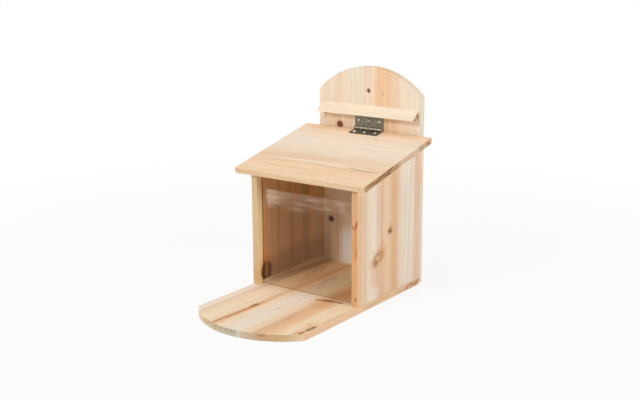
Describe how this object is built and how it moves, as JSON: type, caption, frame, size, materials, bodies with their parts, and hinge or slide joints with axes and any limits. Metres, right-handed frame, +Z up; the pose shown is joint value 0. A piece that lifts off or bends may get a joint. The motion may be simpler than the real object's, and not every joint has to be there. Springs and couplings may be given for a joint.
{
  "type": "squirrel feeder box",
  "caption": "Wooden squirrel feeder: box with sloping hinged lid, clear sliding front pane, arched back board to hang it by, and a rounded feeding platform.",
  "frame": {"origin": "on the surface that the feeder stands on, under the middle of its overall box", "axes": "+Z up, -Y out of the front of the box, +X to the right of someone who faces the front"},
  "size_m": [0.226, 0.341, 0.322],
  "materials": {
    "fir_cream": "planed, unfinished",
    "fir_pale": "planed, unfinished",
    "fir_peach": "planed, unfinished",
    "hinge_bronze": "dark bronze plating, satin",
    "zinc": "bright zinc",
    "acrylic": "clear, polished"
  },
  "bodies": {
    "box": {"base_board": "fir_cream", "back_board": "fir_pale", "side_panel_left": "fir_peach", "side_panel_right": "fir_peach", "drip_strip": "fir_pale", "hinge_leaf_upper": "hinge_bronze", "hinge_pin": "zinc", "base_nail_left_1": "zinc", "base_nail_left_2": "zinc", "base_nail_left_3": "zinc", "base_nail_right_1": "zinc", "base_nail_right_2": "zinc", "base_nail_right_3": "zinc", "back_nail_left_1": "zinc", "back_nail_left_2": "zinc", "back_nail_left_3": "zinc", "back_nail_right_1": "zinc", "back_nail_right_2": "zinc", "back_nail_right_3": "zinc", "back_to_base_nail_left": "zinc", "back_to_base_nail_right": "zinc", "strip_nail_left": "zinc", "strip_nail_right": "zinc", "hinge_screw_upper_1": "zinc", "hinge_screw_upper_2": "zinc", "hinge_screw_upper_3": "zinc"},
    "lid": {"lid_board": "fir_peach", "hinge_leaf_lower": "hinge_bronze", "hinge_screw_lower_1": "zinc", "hinge_screw_lower_2": "zinc", "hinge_screw_lower_3": "zinc"},
    "pane": {"front_pane": "acrylic"}
  },
  "joints": [
    {"name": "lid_hinge", "type": "hinge", "parent": "box", "child": "lid", "pos_m": [0.002, 0.15575, 0.22919], "axis": [-1, 0, 0], "range_deg": [0, 74]},
    {"name": "pane_slide", "type": "slide", "parent": "box", "child": "pane", "axis": [0, 0, 1], "range_m": [0, 0.022]}
  ]
}
